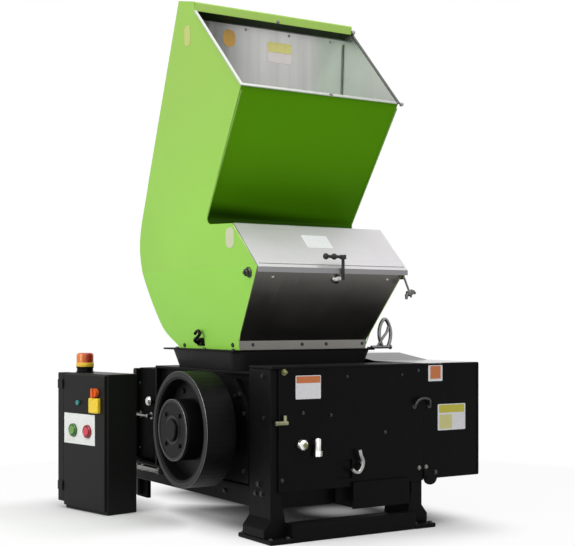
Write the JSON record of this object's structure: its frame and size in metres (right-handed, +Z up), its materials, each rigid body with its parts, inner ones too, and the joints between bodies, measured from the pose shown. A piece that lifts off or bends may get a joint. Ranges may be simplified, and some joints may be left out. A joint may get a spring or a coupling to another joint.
{
  "type": "plastic granulator",
  "caption": "Floor-standing plastic granulator with an inclined feed hopper, hinged feed lid, knife rotor with outside flywheel, belt guard, granulate bin and a separate control cabinet.",
  "frame": {"origin": "on the floor, in the middle of the front rail's underside", "axes": "+X along the rotor from the flywheel to the belt guard, +Y from the front panel to the back, +Z up"},
  "size_m": [1.6181, 1.74, 2.594],
  "materials": {
    "green_paint": "satin powder coat",
    "black_paint": "satin powder coat",
    "stainless": "brushed",
    "steel": "ground",
    "cast_black": "painted casting",
    "yellow_plastic": "gloss",
    "red_plastic": "gloss",
    "green_plastic": "gloss",
    "teal_plastic": "gloss",
    "white_paint": "satin",
    "orange_lens": "clear lens"
  },
  "bodies": {
    "machine": {"beacon_base": "black_paint", "beacon_lens": "orange_lens", "bearing_bracket": "black_paint", "bearing_housing": "cast_black", "bed_knife_front": "steel", "bed_knife_rear": "steel", "belt_guard": "black_paint", "bin_lever": "steel", "bin_runner_left": "black_paint", "bin_runner_right": "black_paint", "cabinet": "black_paint", "door_hinge_lower": "steel", "door_hinge_upper": "steel", "chamber_wall_left": "black_paint", "chamber_wall_right": "black_paint", "deck_plate": "black_paint", "feed_plate_front": "black_paint", "feed_plate_rear": "black_paint", "floor_plate": "black_paint", "foot_plate_left": "black_paint", "foot_plate_right": "black_paint", "front_cap": "black_paint", "front_leg_left": "black_paint", "front_leg_right": "black_paint", "front_panel": "black_paint", "front_rail": "black_paint", "hinge_post": "black_paint", "hopper_back": "green_paint", "hopper_flange": "black_paint", "hopper_front": "green_paint", "hopper_lower_front": "stainless", "hopper_side_left": "green_paint", "hopper_side_right": "green_paint", "hopper_top": "green_paint", "motor_housing": "black_paint", "mouth_frame": "stainless", "panel_bolt": "steel", "panel_clamp": "steel", "panel_knob": "steel", "rear_stand": "black_paint", "rear_wall": "black_paint", "screen": "steel", "side_beam_left": "black_paint", "side_beam_right": "black_paint", "throat": "black_paint"},
    "rotor": {"rotor": "steel", "flywheel": "cast_black", "shaft_cap": "steel"},
    "lid": {"lid": "stainless", "lid_knob": "cast_black"},
    "bin": {"granulate_bin": "black_paint"},
    "cabinet_door": {"cabinet_door": "black_paint", "switch_base": "yellow_plastic", "button_plate": "white_paint", "lamp": "teal_plastic"},
    "start_button": {"start_button": "green_plastic"},
    "stop_button": {"stop_button": "red_plastic"},
    "main_switch": {"main_switch": "red_plastic"}
  },
  "joints": [
    {"name": "rotor_spin", "type": "hinge", "parent": "machine", "child": "rotor", "pos_m": [0, 0.48, 0.4816], "axis": [1, 0, 0], "continuous": true},
    {"name": "lid_hinge", "type": "hinge", "parent": "machine", "child": "lid", "pos_m": [0, 0.352, 1.452], "axis": [-1, 0, 0], "range_deg": [0, 95]},
    {"name": "bin_slide", "type": "slide", "parent": "machine", "child": "bin", "axis": [0, -1, 0], "range_m": [0, 0.45]},
    {"name": "cabinet_door_hinge", "type": "hinge", "parent": "machine", "child": "cabinet_door", "pos_m": [-0.83087, 1.46533, 0.36], "axis": [0, 0, -1], "range_deg": [0, 110]},
    {"name": "start_button_push", "type": "slide", "parent": "cabinet_door", "child": "start_button", "axis": [0.9816, 0.1908, 0], "range_m": [0, 0.003], "stiffness_N_per_m": 800},
    {"name": "stop_button_push", "type": "slide", "parent": "cabinet_door", "child": "stop_button", "axis": [0.9816, 0.1908, 0], "range_m": [0, 0.003], "stiffness_N_per_m": 800},
    {"name": "main_switch_turn", "type": "hinge", "parent": "cabinet_door", "child": "main_switch", "pos_m": [-0.7769, 1.16511, 0.6235], "axis": [0.9816, 0.1908, 0], "range_deg": [0, 90]}
  ]
}
